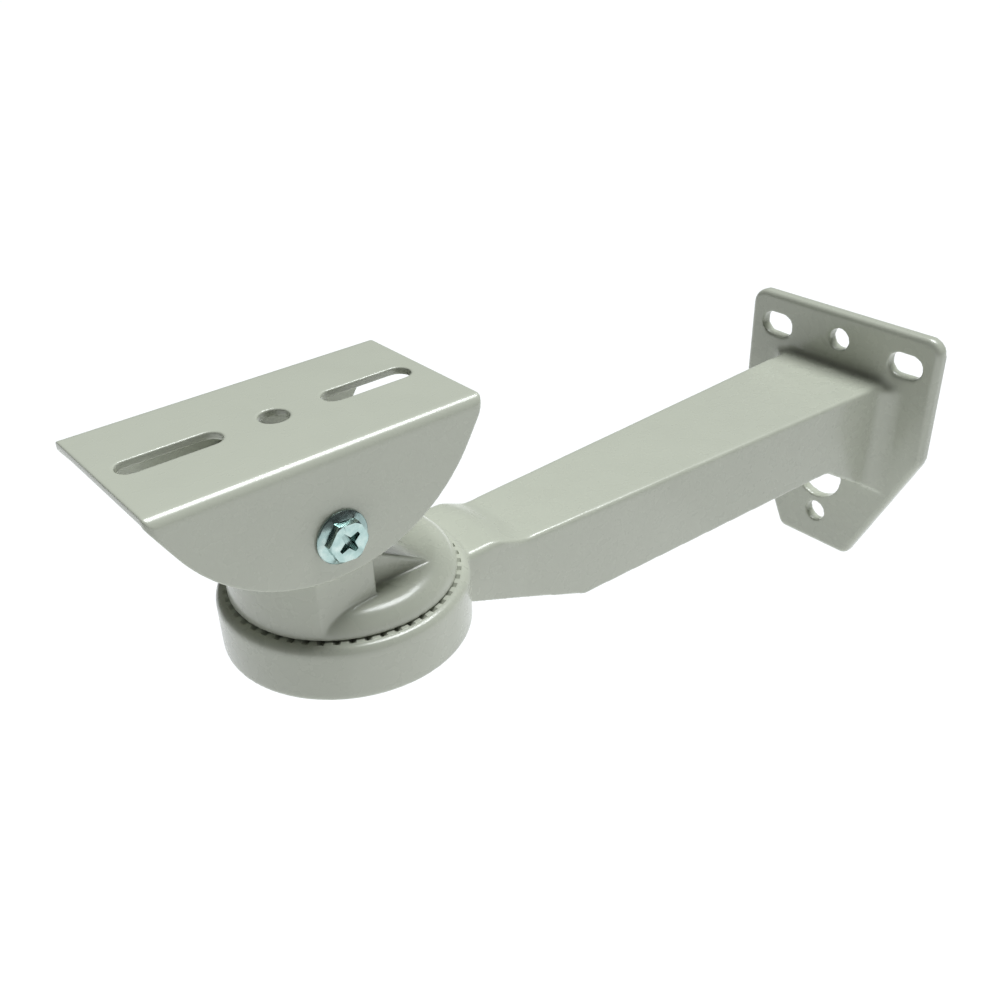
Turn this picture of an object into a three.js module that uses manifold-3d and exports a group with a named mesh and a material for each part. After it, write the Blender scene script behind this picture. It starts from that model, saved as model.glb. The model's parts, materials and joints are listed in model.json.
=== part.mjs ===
// Pan-and-tilt wall bracket for a camera housing: a cast arm on a wall plate, a toothed
// swivel base that pans on the arm's ring, and a folded steel saddle that tilts on the base.
//
// Millimetres, +Z up. The wall plate's back face is the plane y = 0, centred on the origin,
// and the arm reaches out along -Y.
import * as THREE from 'three';
import { mergeVertices } from 'three/addons/utils/BufferGeometryUtils.js';
import Module from 'manifold-3d';

// ---------------------------------------------------------------- driving dimensions
const PLATE_W = 87;          // wall plate, across
const PLATE_H = 106;         // wall plate, top to bottom
const PLATE_T = 5;
const PLATE_FOOT_W = 34;     // straight lower edge between the two cut corners
const PLATE_CUT_Z = 2;       // height at which the cut corners start
const PLATE_CORNER_R = 6.5;
const PLATE_CUT_R = 9;
const PLATE_FOOT_R = 4;
const PLATE_EDGE_R = 2.2;    // rounding of the front edge

const FIX_HOLE_D = 9;        // round fixing holes
const FIX_TOP_Z = 42;        // middle hole at the top
const FIX_LOW_Z = -38;       // hole at the foot
const SLOT_PITCH = 60;       // between the two fixing slots
const SLOT_Z = 40;
const SLOT_W = 9.5;
const SLOT_L = 14.8;
const CABLE_D = 22;          // cable hole under the arm
const CABLE_X = -1;
const CABLE_Z = -19.5;

const REACH = 240;           // wall to the pan axis
const RING_R = 36;           // toothed ring at the arm's head
const RING_BOTTOM = 22;
const RING_H = 17;
const RING_EDGE_R = 2.6;
const RING_SINK_R = 28;      // hollow under the ring
const RING_SINK_H = 10;
const RING_DISH_R = 26;      // shallow dish inside the teeth
const RING_DISH_H = 1.5;

const ARM_HEAD_HALF = 15.5;  // arm half width from the ring to the neck's shoulder
const ARM_WALL_HALF = 23.7;  // arm half width at the plate
const ARM_TOP_HEAD = 32.8;   // height of the arm's top face at its head end
const ARM_TOP_WALL = 30.7;   // and at the plate
const ARM_UNDER = 1.2;       // lower edge of the arm's side walls
const ARM_ROOT_DROP = 0.6;   // the sloping underside starts this far below the ring
const ARM_WALL_T = 3.6;      // side walls and top wall
const ARM_ROOT_R = 30;       // the arm's solid root starts this far from the pan axis
const ARM_EDGE = 1.6;        // chamfer along the top edges
const SLOPE_END = 80;        // pan axis to the end of the sloping underside
const GUSSET_L = 30;         // side walls reach down over this length at the plate
const GUSSET_DROP = 17.6;
const PLATE_FILLET = 8;      // side walls into the plate
const NECK_TOP = 37;         // neck beside the ring
const NECK_FLAT_R = 44;      // pan axis to the start of the shoulder
const NECK_STEP_R = 55.5;    // pan axis to the foot of the shoulder
const NECK_SOLID = 6;        // solid metal between the ring and the arm's hollow

const TEETH = 50;            // serrations of the pan joint
const TOOTH_W = 2.2;
const TOOTH_DEPTH = 1.1;
const TOOTH_IN_R = 26.6;
const TOOTH_OUT_R = 33.3;
const PAN_GAP = 0.3;         // clamp released: the two toothed faces stand just clear

const BASE_R = 32.5;         // swivel base
const LIP_H = 6.5;           // height of the rounded lip
const LIP_W = 7;
const LUG_BACK = 10.3;       // tilt axis to the end of the clamping face, wall side
const LUG_TOP_R = 10;        // round top about the tilt axis
const DRUM_TOP = 25;         // height of the drum wall above the lip's foot
const WEB_HALF = 20.5;       // web behind the lug
const WEB_RISE = 18.2;       // web height at the lug, above the lip's foot
const WEB_REACH = 17;        // pan axis to the web's foot
const BASE_WALL = 4.2;
const BASE_BOSS_R = 10;      // threaded boss for the pan bolt

const TILT_BACK = 14.3;      // tilt axis stands this far in front of the pan axis
const TILT_UP = 47.8;        // tilt axis above the ring's underside
const SEAT_UP = 23.3;        // top of the saddle above the tilt axis
const SADDLE_W = 53.6;
const SADDLE_L = 92.9;
const SHEET = 2.3;
const BEND_R = 3;            // outside bend radius
const SEAT_CORNER_R = 2.2;   // corners of the folded sheet, seen from above
const CHEEK_R = 47.6;        // rounded lower edge of the side cheeks
const CHEEK_LOW = 11.8;      // cheek below the tilt axis
const CAM_SLOT_IN = 14.4;    // seat centre to the near end of a camera slot
const CAM_SLOT_OUT = 41.8;
const CAM_SLOT_W = 7.2;
const CAM_HOLE_D = 8.2;

const SIDE_GAP = 0.3;        // lug face to cheek, both sides
const SEAT_GAP = 0.2;        // screw heads, washers and nuts to what they clamp
const SHANK_GAP = 0.3;       // screw shank to its hole, on the radius

const TILT_D = 6;            // tilt bolt
const TILT_FLANGE_D = 14.6;
const TILT_FLANGE_T = 1.3;
const TILT_HEX = 10;
const TILT_HEX_TURN = 25;    // how far the tilt bolt is turned, in degrees
const TILT_HEAD_H = 3.8;
const TILT_NUT_HEX = 10;
const TILT_NUT_H = 5;
const TILT_WASHER_D = 12;
const TILT_WASHER_T = 1.6;
const TILT_SPRING_D = 11;
const TILT_SPRING_T = 1.6;
const CROSS_L = 6.6;          // cross recess in the head
const CROSS_W = 1.8;
const CROSS_DEPTH = 2.2;
const CROSS_TURN = 32;

const PAN_D = 8;             // pan bolt
const PAN_HEX = 13;
const PAN_HEAD_H = 5.3;
const PAN_WASHER_D = 17;
const PAN_WASHER_T = 1.6;
const PAN_SPRING_D = 14;
const PAN_SPRING_T = 2;
const PAN_THREAD = 12;       // length of the pan bolt inside the swivel base
const SPRING_SLIT = 1.2;
const THREAD_END = 2.4;      // bolt standing proud of its nut

// ---------------------------------------------------------------- derived places
const PAN_Y = -REACH;
const TILT_Y = PAN_Y - TILT_BACK;
const TILT_Z = RING_BOTTOM + TILT_UP;
const RING_TOP = RING_BOTTOM + RING_H;
const WEB_LOW = RING_BOTTOM + RING_SINK_H;
const BASE_FOOT = RING_TOP + PAN_GAP;
const SEAT_Z = TILT_Z + SEAT_UP;
const HALF_W = SADDLE_W / 2;
const LUG_HALF = HALF_W - SHEET - SIDE_GAP;
const FAR = 400;             // longer than the whole object, for cutting tools

// ---------------------------------------------------------------- shape helpers
const wasm = await Module();
wasm.setup();

function solid(geometry) {
  geometry.deleteAttribute('normal');
  geometry.deleteAttribute('uv');
  const merged = mergeVertices(geometry, 1e-4);
  return new wasm.Manifold(new wasm.Mesh({
    numProp: 3,
    vertProperties: new Float32Array(merged.attributes.position.array),
    triVerts: new Uint32Array(merged.index.array),
  }));
}

// Closed outline through corner points [a, b, radius]; a radius rounds its corner with an arc.
function outline(points) {
  const shape = new THREE.Shape();
  points.forEach(([a, b, radius = 0], i) => {
    const corner = new THREE.Vector2(a, b);
    if (radius === 0) {
      shape[i ? 'lineTo' : 'moveTo'](a, b);
      return;
    }
    const before = points[(i + points.length - 1) % points.length];
    const after = points[(i + 1) % points.length];
    const back = new THREE.Vector2(before[0] - a, before[1] - b).normalize();
    const ahead = new THREE.Vector2(after[0] - a, after[1] - b).normalize();
    const half = Math.acos(back.dot(ahead)) / 2;
    const start = corner.clone().addScaledVector(back, radius / Math.tan(half));
    const toCentre = back.clone().add(ahead).normalize();
    const centre = corner.clone().addScaledVector(toCentre, radius / Math.sin(half));
    const end = corner.clone().addScaledVector(ahead, radius / Math.tan(half));
    const left = back.x * ahead.y - back.y * ahead.x < 0;
    const angle = (p) => Math.atan2(p.y - centre.y, p.x - centre.x);
    shape[i ? 'lineTo' : 'moveTo'](start.x, start.y);
    shape.absarc(centre.x, centre.y, radius, angle(start), angle(end), !left);
  });
  shape.closePath();
  return shape;
}

function circle(a, b, radius) {
  const shape = new THREE.Shape();
  shape.absarc(a, b, radius, 0, 2 * Math.PI, false);
  return shape;
}

// Round-ended slot along the first axis, centred on (a, b).
function stadium(a, b, length, width) {
  const r = width / 2;
  const reach = length / 2 - r;
  const shape = new THREE.Shape();
  shape.absarc(a + reach, b, r, -Math.PI / 2, Math.PI / 2, false);
  shape.absarc(a - reach, b, r, Math.PI / 2, 1.5 * Math.PI, false);
  shape.closePath();
  return shape;
}

// Hexagon whose flats face `turn` degrees round from the first axis.
function hexagon(a, b, acrossFlats, turn = 0) {
  const r = acrossFlats / Math.sqrt(3);
  const shape = new THREE.Shape();
  for (let i = 0; i < 6; i++) {
    const t = THREE.MathUtils.degToRad(turn + 30 + 60 * i);
    shape[i ? 'lineTo' : 'moveTo'](a + r * Math.cos(t), b + r * Math.sin(t));
  }
  shape.closePath();
  return shape;
}

// Rectangle centred on (a, b), its length `turn` degrees round from the first axis.
function bar(a, b, length, width, turn) {
  const t = THREE.MathUtils.degToRad(turn);
  const corners = [[-1, -1], [1, -1], [1, 1], [-1, 1]].map(([i, j]) => {
    const u = (i * length) / 2;
    const v = (j * width) / 2;
    return [a + u * Math.cos(t) - v * Math.sin(t), b + u * Math.sin(t) + v * Math.cos(t)];
  });
  return outline(corners);
}

function extrude(shape, length, segments) {
  return new THREE.ExtrudeGeometry(shape, {
    depth: length, bevelEnabled: false, curveSegments: segments,
  });
}

// Shape given in (y, z), extruded along X from x0 to x1.
function alongX(shape, x0, x1, segments = 10) {
  const place = new THREE.Matrix4().makeBasis(
    new THREE.Vector3(0, 1, 0), new THREE.Vector3(0, 0, 1), new THREE.Vector3(1, 0, 0));
  const geometry = extrude(shape, x1 - x0, segments).applyMatrix4(place);
  return solid(geometry.translate(x0, 0, 0));
}

// Shape given in (x, z), extruded along Y from y0 to y1.
function alongY(shape, y0, y1, segments = 10) {
  const geometry = extrude(shape, y1 - y0, segments).rotateX(Math.PI / 2);
  return solid(geometry.translate(0, y1, 0));
}

// Shape given in (x, y), extruded along Z from z0 to z1.
function alongZ(shape, z0, z1, segments = 10) {
  return solid(extrude(shape, z1 - z0, segments).translate(0, 0, z0));
}

// Profile of [radius, z] turned about the vertical axis through (0, y).
function turned(profile, y, segments = 72) {
  const points = profile.map(([r, z]) => new THREE.Vector2(r, z));
  const geometry = new THREE.LatheGeometry(points, segments).rotateX(Math.PI / 2);
  return solid(geometry.translate(0, y, 0));
}

// Quarter arc of [radius, z] points from angle a0 to a1 (degrees) about (r, z).
function arc(r, z, radiusR, radiusZ, a0, a1, steps = 5) {
  return Array.from({ length: steps + 1 }, (_, i) => {
    const t = THREE.MathUtils.degToRad(a0 + ((a1 - a0) * i) / steps);
    return [r + radiusR * Math.cos(t), z + radiusZ * Math.sin(t)];
  });
}

function mesh(name, body, material) {
  const { numProp, vertProperties, triVerts } = body.getMesh();
  if (numProp !== 3) throw new Error(`${name}: unexpected vertex layout`);
  const geometry = new THREE.BufferGeometry();
  geometry.setAttribute('position', new THREE.BufferAttribute(vertProperties, 3));
  geometry.setIndex(new THREE.BufferAttribute(triVerts, 1));
  geometry.computeVertexNormals();
  const item = new THREE.Mesh(geometry, material);
  item.name = name;
  return item;
}

// ---------------------------------------------------------------- cast wall arm
// Share of the way along the tapered stretch, from the neck's shoulder to the plate.
function taper(distance) {
  return (distance - NECK_STEP_R) / (REACH - PLATE_T - NECK_STEP_R);
}

// Half width of the arm at a distance from the pan axis.
function armHalf(distance) {
  return ARM_HEAD_HALF + (ARM_WALL_HALF - ARM_HEAD_HALF) * Math.max(0, taper(distance));
}

function armTopAt(distance) {
  return ARM_TOP_HEAD + (ARM_TOP_WALL - ARM_TOP_HEAD) * taper(distance);
}

// Plan of the arm: parallel along the neck, then widening to the plate.
function armPlan(inset, from, to) {
  const head = armHalf(from) - inset;
  const wall = armHalf(to) - inset;
  const knee = PAN_Y + NECK_STEP_R;
  return outline([
    [-head, PAN_Y + from], [head, PAN_Y + from], [head, knee], [wall, PAN_Y + to],
    [-wall, PAN_Y + to], [-head, knee],
  ]);
}

function wallPlate() {
  const half = PLATE_W / 2;
  const top = PLATE_H / 2;
  const edge = outline([
    [-PLATE_FOOT_W / 2, -top, PLATE_FOOT_R], [PLATE_FOOT_W / 2, -top, PLATE_FOOT_R],
    [half, PLATE_CUT_Z, PLATE_CUT_R], [half, top, PLATE_CORNER_R],
    [-half, top, PLATE_CORNER_R], [-half, PLATE_CUT_Z, PLATE_CUT_R],
  ]);
  const slab = new THREE.ExtrudeGeometry(edge, {
    depth: PLATE_T, bevelEnabled: true, bevelThickness: PLATE_EDGE_R, bevelSize: PLATE_EDGE_R,
    bevelOffset: -PLATE_EDGE_R, bevelSegments: 3, curveSegments: 5,
  }).rotateX(Math.PI / 2).translate(0, PLATE_EDGE_R, 0);
  const behind = alongY(outline([[-FAR, -FAR], [FAR, -FAR], [FAR, FAR], [-FAR, FAR]]), 0, FAR);
  let plate = solid(slab).subtract(behind);
  const cuts = [
    circle(0, FIX_TOP_Z, FIX_HOLE_D / 2), circle(0, FIX_LOW_Z, FIX_HOLE_D / 2),
    circle(CABLE_X, CABLE_Z, CABLE_D / 2),
    stadium(-SLOT_PITCH / 2, SLOT_Z, SLOT_L, SLOT_W), stadium(SLOT_PITCH / 2, SLOT_Z, SLOT_L, SLOT_W),
  ];
  for (const cut of cuts) plate = plate.subtract(alongY(cut, -3 * PLATE_T, PLATE_T, 8));
  return plate;
}

// Outside of the arm: the side outline cut to the tapered plan, with chamfered top edges.
function armOutside() {
  const end = -PLATE_T + 1;
  const slope = PAN_Y + SLOPE_END;
  const root = PAN_Y + ARM_ROOT_R;
  const side = outline([
    [root, RING_BOTTOM - ARM_ROOT_DROP], [slope, ARM_UNDER, 6],
    [-PLATE_T - GUSSET_L, ARM_UNDER, 8], [-PLATE_T, ARM_UNDER - GUSSET_DROP],
    [end, ARM_UNDER - GUSSET_DROP], [end, armTopAt(REACH - PLATE_T)], [root, armTopAt(ARM_ROOT_R)],
  ]);
  let arm = alongX(side, -FAR / 4, FAR / 4, 6);
  arm = arm.intersect(alongZ(armPlan(0, ARM_ROOT_R, REACH - PLATE_T + 1), -FAR / 4, FAR / 4));
  for (const sign of [-1, 1]) arm = arm.subtract(topEdgeCut(sign));
  return arm;
}

// Prism that takes the chamfer off one long top edge.
function topEdgeCut(sign) {
  const run = REACH - PLATE_T - NECK_STEP_R;
  const start = 8;
  const lean = Math.atan2(sign * (ARM_WALL_HALF - ARM_HEAD_HALF), run);
  const fall = Math.atan2(ARM_TOP_WALL - ARM_TOP_HEAD, run);
  const section = outline([
    [-sign * ARM_EDGE, 0], [-sign * ARM_EDGE, 3], [sign * 3, 3], [sign * 3, -ARM_EDGE - 3],
    [0, -ARM_EDGE],
  ]);
  const cut = extrude(section, run + 10 + start, 1).rotateX(Math.PI / 2).translate(0, run + 10, 0);
  cut.rotateX(fall).rotateZ(-lean);
  return solid(cut.translate(sign * ARM_HEAD_HALF, PAN_Y + NECK_STEP_R, ARM_TOP_HEAD));
}

// Hollow of the arm, open underneath, as a cable channel.
function armHollow() {
  const from = RING_R + NECK_SOLID;
  const roof = (distance) => armTopAt(distance) - ARM_WALL_T;
  const side = outline([
    [PAN_Y + from, -FAR / 4], [-PLATE_T, -FAR / 4], [-PLATE_T, roof(REACH)],
    [PAN_Y + from, roof(from)],
  ]);
  const plan = armPlan(ARM_WALL_T, from, REACH - PLATE_T);
  return alongX(side, -FAR / 4, FAR / 4).intersect(alongZ(plan, -FAR / 4, FAR / 4));
}

// Raised neck that runs from the ring to a rounded shoulder, concentric with the pan axis.
function neck() {
  const drop = NECK_TOP - ARM_TOP_HEAD;
  const mid = (NECK_FLAT_R + NECK_STEP_R) / 2;
  const round = (NECK_STEP_R - NECK_FLAT_R) / 2;
  const shoulder = [
    ...arc(NECK_STEP_R, ARM_TOP_HEAD + drop / 2, round, drop / 2, 270, 180, 4),
    ...arc(NECK_FLAT_R, NECK_TOP - drop / 2, round, drop / 2, 0, 90, 4).slice(1),
  ];
  const profile = [[0, RING_BOTTOM + 4], [mid, RING_BOTTOM + 4], [NECK_STEP_R, ARM_TOP_HEAD - 3],
    ...shoulder, [0, NECK_TOP]];
  const plan = armPlan(0, 0, NECK_STEP_R + 1);
  return turned(profile, PAN_Y).intersect(alongZ(plan, 0, FAR / 4));
}

function ringBody() {
  const r = RING_R;
  const e = RING_EDGE_R;
  return turned([
    [0, WEB_LOW], [RING_SINK_R, WEB_LOW], [RING_SINK_R, RING_BOTTOM], [r - 1, RING_BOTTOM],
    [r, RING_BOTTOM + 1], ...arc(r - e, RING_TOP - e, e, e, 0, 90), [0, RING_TOP],
  ], PAN_Y);
}

// Hollow under the ring, and the shallow dish inside its teeth, with the pan bolt's hole.
function ringCuts() {
  const sink = turned([
    [0, RING_BOTTOM - 20], [RING_SINK_R, RING_BOTTOM - 20], [RING_SINK_R, WEB_LOW], [0, WEB_LOW],
  ], PAN_Y);
  const dish = turned([
    [0, RING_TOP - RING_DISH_H], [RING_DISH_R, RING_TOP - RING_DISH_H],
    [RING_DISH_R, RING_TOP + 5], [0, RING_TOP + 5],
  ], PAN_Y);
  const bore = alongZ(circle(0, PAN_Y, PAN_D / 2 + SHANK_GAP), 0, RING_TOP + 1, 16);
  return sink.add(dish).add(bore);
}

// Ring of V grooves in a horizontal face; direction +1 cuts down from z, -1 cuts up.
function serrations(z, direction) {
  const half = TOOTH_W / 2;
  const lift = 0.2;
  const flare = (half * (TOOTH_DEPTH + lift)) / TOOTH_DEPTH;
  const section = outline([
    [-flare, direction * lift], [flare, direction * lift], [0, -direction * TOOTH_DEPTH],
  ]);
  let ring = null;
  for (let i = 0; i < TEETH; i++) {
    const groove = extrude(section, TOOTH_OUT_R - TOOTH_IN_R, 1)
      .rotateX(Math.PI / 2).translate(0, TOOTH_OUT_R, z)
      .rotateZ((2 * Math.PI * i) / TEETH + Math.PI / 2).translate(0, PAN_Y, 0);
    ring = ring ? ring.add(solid(groove)) : solid(groove);
  }
  return ring;
}

// Concave fillets where the arm's two side walls run into the wall plate.
function plateFillets() {
  const r = PLATE_FILLET;
  const face = -PLATE_T;
  const pieces = [-1, 1].map((sign) => {
    const side = ARM_WALL_HALF - 1;
    const shape = new THREE.Shape();
    shape.moveTo(sign * side, face + 1);
    shape.lineTo(sign * (ARM_WALL_HALF + r), face + 1);
    const end = sign > 0 ? Math.PI : 0;
    shape.absarc(sign * (ARM_WALL_HALF + r), face - r, r, Math.PI / 2, end, sign < 0);
    shape.lineTo(sign * side, face - r);
    shape.closePath();
    return alongZ(shape, ARM_UNDER - GUSSET_DROP, ARM_TOP_WALL - ARM_EDGE, 6);
  });
  const under = outline([
    [face - GUSSET_L, ARM_UNDER], [face, ARM_UNDER - GUSSET_DROP], [1, ARM_UNDER - GUSSET_DROP],
    [1, ARM_TOP_WALL], [face - GUSSET_L, ARM_TOP_WALL],
  ]);
  const keep = alongX(under, -FAR / 4, FAR / 4);
  return pieces.map((piece) => piece.intersect(keep));
}

function wallArm() {
  let body = armOutside().add(neck()).subtract(armHollow()).add(ringBody()).subtract(ringCuts());
  body = body.add(wallPlate());
  for (const fillet of plateFillets()) body = body.add(fillet);
  const cable = alongY(circle(CABLE_X, CABLE_Z, CABLE_D / 2), -PLATE_T - 1, PLATE_T, 8);
  return body.subtract(serrations(RING_TOP, 1)).subtract(cable);
}

// ---------------------------------------------------------------- cast swivel base
function baseLip() {
  return turned([
    [0, BASE_FOOT], ...arc(BASE_R - LIP_W, BASE_FOOT, LIP_W, LIP_H, 0, 90, 6), [0, BASE_FOOT + LIP_H],
  ], PAN_Y);
}

// Tall drum with the lug's two flat faces, topped by a round about the tilt axis.
function baseLug() {
  const front = PAN_Y - BASE_R - 1;
  const drumTop = BASE_FOOT + DRUM_TOP;
  const corner = new THREE.Vector2(PAN_Y - BASE_R - TILT_Y, drumTop - TILT_Z);
  const tangent = corner.angle() - Math.acos(LUG_TOP_R / corner.length());
  const side = new THREE.Shape();
  side.moveTo(front, BASE_FOOT);
  side.lineTo(TILT_Y + LUG_BACK, BASE_FOOT);
  side.absarc(TILT_Y, TILT_Z, LUG_TOP_R, 0, tangent, false);
  side.lineTo(PAN_Y - BASE_R, drumTop);
  side.lineTo(front, drumTop - 1);
  side.closePath();
  const round = alongZ(circle(0, PAN_Y, BASE_R), BASE_FOOT, TILT_Z + LUG_TOP_R + 1, 24);
  return alongX(side, -LUG_HALF, LUG_HALF, 12).intersect(round);
}

function baseWeb() {
  const side = outline([
    [TILT_Y, BASE_FOOT], [PAN_Y + WEB_REACH, BASE_FOOT], [PAN_Y + WEB_REACH, BASE_FOOT + LIP_H - 0.5],
    [TILT_Y + LUG_BACK, BASE_FOOT + WEB_RISE], [TILT_Y, BASE_FOOT + WEB_RISE],
  ]);
  return alongX(side, -WEB_HALF, WEB_HALF);
}

// Hollow of the casting, open underneath, around the threaded boss.
function baseHollow() {
  const ceiling = TILT_Z - TILT_D / 2 - 2 * BASE_WALL;
  const round = circle(0, PAN_Y, TOOTH_IN_R - BASE_WALL);
  const inner = alongZ(round, BASE_FOOT - 1, BASE_FOOT + LIP_H - BASE_WALL, 12);
  const lug = outline([
    [PAN_Y - BASE_R + BASE_WALL + 2, BASE_FOOT - 1], [TILT_Y + LUG_BACK - BASE_WALL, BASE_FOOT - 1],
    [TILT_Y + LUG_BACK - BASE_WALL, ceiling], [PAN_Y - BASE_R + BASE_WALL + 2, ceiling],
  ]);
  const reach = alongZ(round, 0, ceiling + 1, 16);
  const upper = alongX(lug, BASE_WALL - LUG_HALF, LUG_HALF - BASE_WALL).intersect(reach);
  const boss = alongZ(circle(0, PAN_Y, BASE_BOSS_R), 0, ceiling + 2, 8);
  return inner.add(upper).subtract(boss);
}

function swivelBase() {
  const panHole = alongZ(circle(0, PAN_Y, PAN_D / 2 + SHANK_GAP), 0, BASE_FOOT + PAN_THREAD + 1, 16);
  const tiltHole = alongX(circle(TILT_Y, TILT_Z, TILT_D / 2 + SHANK_GAP), -FAR / 4, FAR / 4, 16);
  return baseLip().add(baseLug()).add(baseWeb()).subtract(baseHollow())
    .subtract(panHole).subtract(tiltHole).subtract(serrations(BASE_FOOT, -1));
}

// ---------------------------------------------------------------- folded saddle
function channel() {
  const low = TILT_Z - CHEEK_LOW - 2;
  const inner = HALF_W - SHEET;
  const innerR = BEND_R - SHEET;
  const section = outline([
    [-HALF_W, low], [-inner, low], [-inner, SEAT_Z - SHEET, innerR], [inner, SEAT_Z - SHEET, innerR],
    [inner, low], [HALF_W, low], [HALF_W, SEAT_Z, BEND_R], [-HALF_W, SEAT_Z, BEND_R],
  ]);
  return alongY(section, TILT_Y - SADDLE_L / 2, TILT_Y + SADDLE_L / 2, 4);
}

function saddle() {
  const sheetLow = SEAT_Z - BEND_R;
  const round = alongX(circle(TILT_Y, TILT_Z - CHEEK_LOW + CHEEK_R, CHEEK_R), -FAR / 4, FAR / 4, 36);
  const seat = alongX(outline([
    [TILT_Y - FAR / 4, sheetLow], [TILT_Y + FAR / 4, sheetLow],
    [TILT_Y + FAR / 4, SEAT_Z + 5], [TILT_Y - FAR / 4, SEAT_Z + 5],
  ]), -FAR / 4, FAR / 4);
  const half = SADDLE_L / 2;
  const blank = alongZ(outline([
    [-HALF_W, TILT_Y - half, SEAT_CORNER_R], [HALF_W, TILT_Y - half, SEAT_CORNER_R],
    [HALF_W, TILT_Y + half, SEAT_CORNER_R], [-HALF_W, TILT_Y + half, SEAT_CORNER_R],
  ]), 0, FAR / 2, 3);
  let body = channel().intersect(round.add(seat)).intersect(blank);
  const slotL = CAM_SLOT_OUT - CAM_SLOT_IN;
  const slotAt = (CAM_SLOT_OUT + CAM_SLOT_IN) / 2;
  for (const sign of [-1, 1]) {
    const slot = extrude(stadium(sign * slotAt, 0, slotL, CAM_SLOT_W), 4 * SHEET, 8)
      .rotateZ(Math.PI / 2).translate(0, TILT_Y, SEAT_Z - 2 * SHEET);
    body = body.subtract(solid(slot));
  }
  body = body.subtract(alongZ(circle(0, TILT_Y, CAM_HOLE_D / 2), SEAT_Z - 2 * SHEET, SEAT_Z + 1, 12));
  const pivot = circle(TILT_Y, TILT_Z, TILT_D / 2 + SHANK_GAP);
  return body.subtract(alongX(pivot, -FAR / 4, FAR / 4, 12));
}

// ---------------------------------------------------------------- screws, washers and nuts
// Plain disc washer about the X axis (tilt) between two faces.
function tiltDisc(outer, x0, x1) {
  const bore = alongX(circle(TILT_Y, TILT_Z, TILT_D / 2 + SHANK_GAP), x0 - 1, x1 + 1, 12);
  return alongX(circle(TILT_Y, TILT_Z, outer / 2), x0, x1, 16).subtract(bore);
}

function panDisc(outer, z0, z1) {
  const bore = alongZ(circle(0, PAN_Y, PAN_D / 2 + SHANK_GAP), z0 - 1, z1 + 1, 12);
  return alongZ(circle(0, PAN_Y, outer / 2), z0, z1, 16).subtract(bore);
}

// Cut that splits a spring washer through its rim.
function slitX(x0, x1) {
  const z = TILT_Z;
  return alongX(outline([
    [TILT_Y - SPRING_SLIT / 2, z], [TILT_Y + SPRING_SLIT / 2, z],
    [TILT_Y + SPRING_SLIT, z + TILT_SPRING_D], [TILT_Y, z + TILT_SPRING_D],
  ]), x0 - 1, x1 + 1);
}

function slitZ(z0, z1) {
  return alongZ(outline([
    [-SPRING_SLIT / 2, PAN_Y], [0, PAN_Y - PAN_SPRING_D], [SPRING_SLIT, PAN_Y - PAN_SPRING_D],
    [SPRING_SLIT / 2, PAN_Y],
  ]), z0 - 1, z1 + 1);
}

// Places along the tilt axis, counted outwards from the far cheek towards -X.
const FAR_FACE = -HALF_W - SEAT_GAP;
const WASHER_END = FAR_FACE - TILT_WASHER_T;
const SPRING_START = WASHER_END - SEAT_GAP;
const SPRING_END = SPRING_START - TILT_SPRING_T;
const NUT_START = SPRING_END - SEAT_GAP;
const NUT_END = NUT_START - TILT_NUT_H;

function tiltBolt() {
  const face = HALF_W + SEAT_GAP;
  const top = face + TILT_HEAD_H;
  const shank = alongX(circle(TILT_Y, TILT_Z, TILT_D / 2), NUT_END - THREAD_END, face + 1, 12);
  const flange = alongX(circle(TILT_Y, TILT_Z, TILT_FLANGE_D / 2), face, face + TILT_FLANGE_T, 20);
  const hex = alongX(hexagon(TILT_Y, TILT_Z, TILT_HEX, TILT_HEX_TURN), face + 0.5, top);
  const [wing, crossWing] = [0, 90].map((turn) => alongX(
    bar(TILT_Y, TILT_Z, CROSS_L, CROSS_W, CROSS_TURN + turn), top - CROSS_DEPTH, top + 1));
  return shank.add(flange).add(hex).subtract(wing.add(crossWing));
}

function tiltNut() {
  const bore = alongX(circle(TILT_Y, TILT_Z, TILT_D / 2 + SHANK_GAP), NUT_END - 1, NUT_START + 1, 12);
  return alongX(hexagon(TILT_Y, TILT_Z, TILT_NUT_HEX), NUT_END, NUT_START).subtract(bore);
}

// Places along the pan axis, counted downwards from the ring's web.
const PAN_WASHER_TOP = WEB_LOW - SEAT_GAP;
const PAN_WASHER_LOW = PAN_WASHER_TOP - PAN_WASHER_T;
const PAN_SPRING_TOP = PAN_WASHER_LOW - SEAT_GAP;
const PAN_SPRING_LOW = PAN_SPRING_TOP - PAN_SPRING_T;
const PAN_HEAD_TOP = PAN_SPRING_LOW - SEAT_GAP;

function panBolt() {
  const tip = BASE_FOOT + PAN_THREAD;
  const shank = alongZ(circle(0, PAN_Y, PAN_D / 2), PAN_HEAD_TOP - 1, tip, 12);
  return shank.add(alongZ(hexagon(0, PAN_Y, PAN_HEX), PAN_HEAD_TOP - PAN_HEAD_H, PAN_HEAD_TOP));
}

// ---------------------------------------------------------------- assembly
const enamel = new THREE.MeshStandardMaterial({ color: 0xb9beab, roughness: 0.42, metalness: 0 });
const enamelSheet = new THREE.MeshStandardMaterial({ color: 0xbbc0ae, roughness: 0.38, metalness: 0 });
const zinc = new THREE.MeshStandardMaterial({ color: 0x9fb2ae, roughness: 0.25, metalness: 1 });
const steel = new THREE.MeshStandardMaterial({ color: 0x8d9494, roughness: 0.35, metalness: 1 });

const fixed = new THREE.Group();
fixed.add(mesh('wall_arm', wallArm(), enamel));

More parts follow.
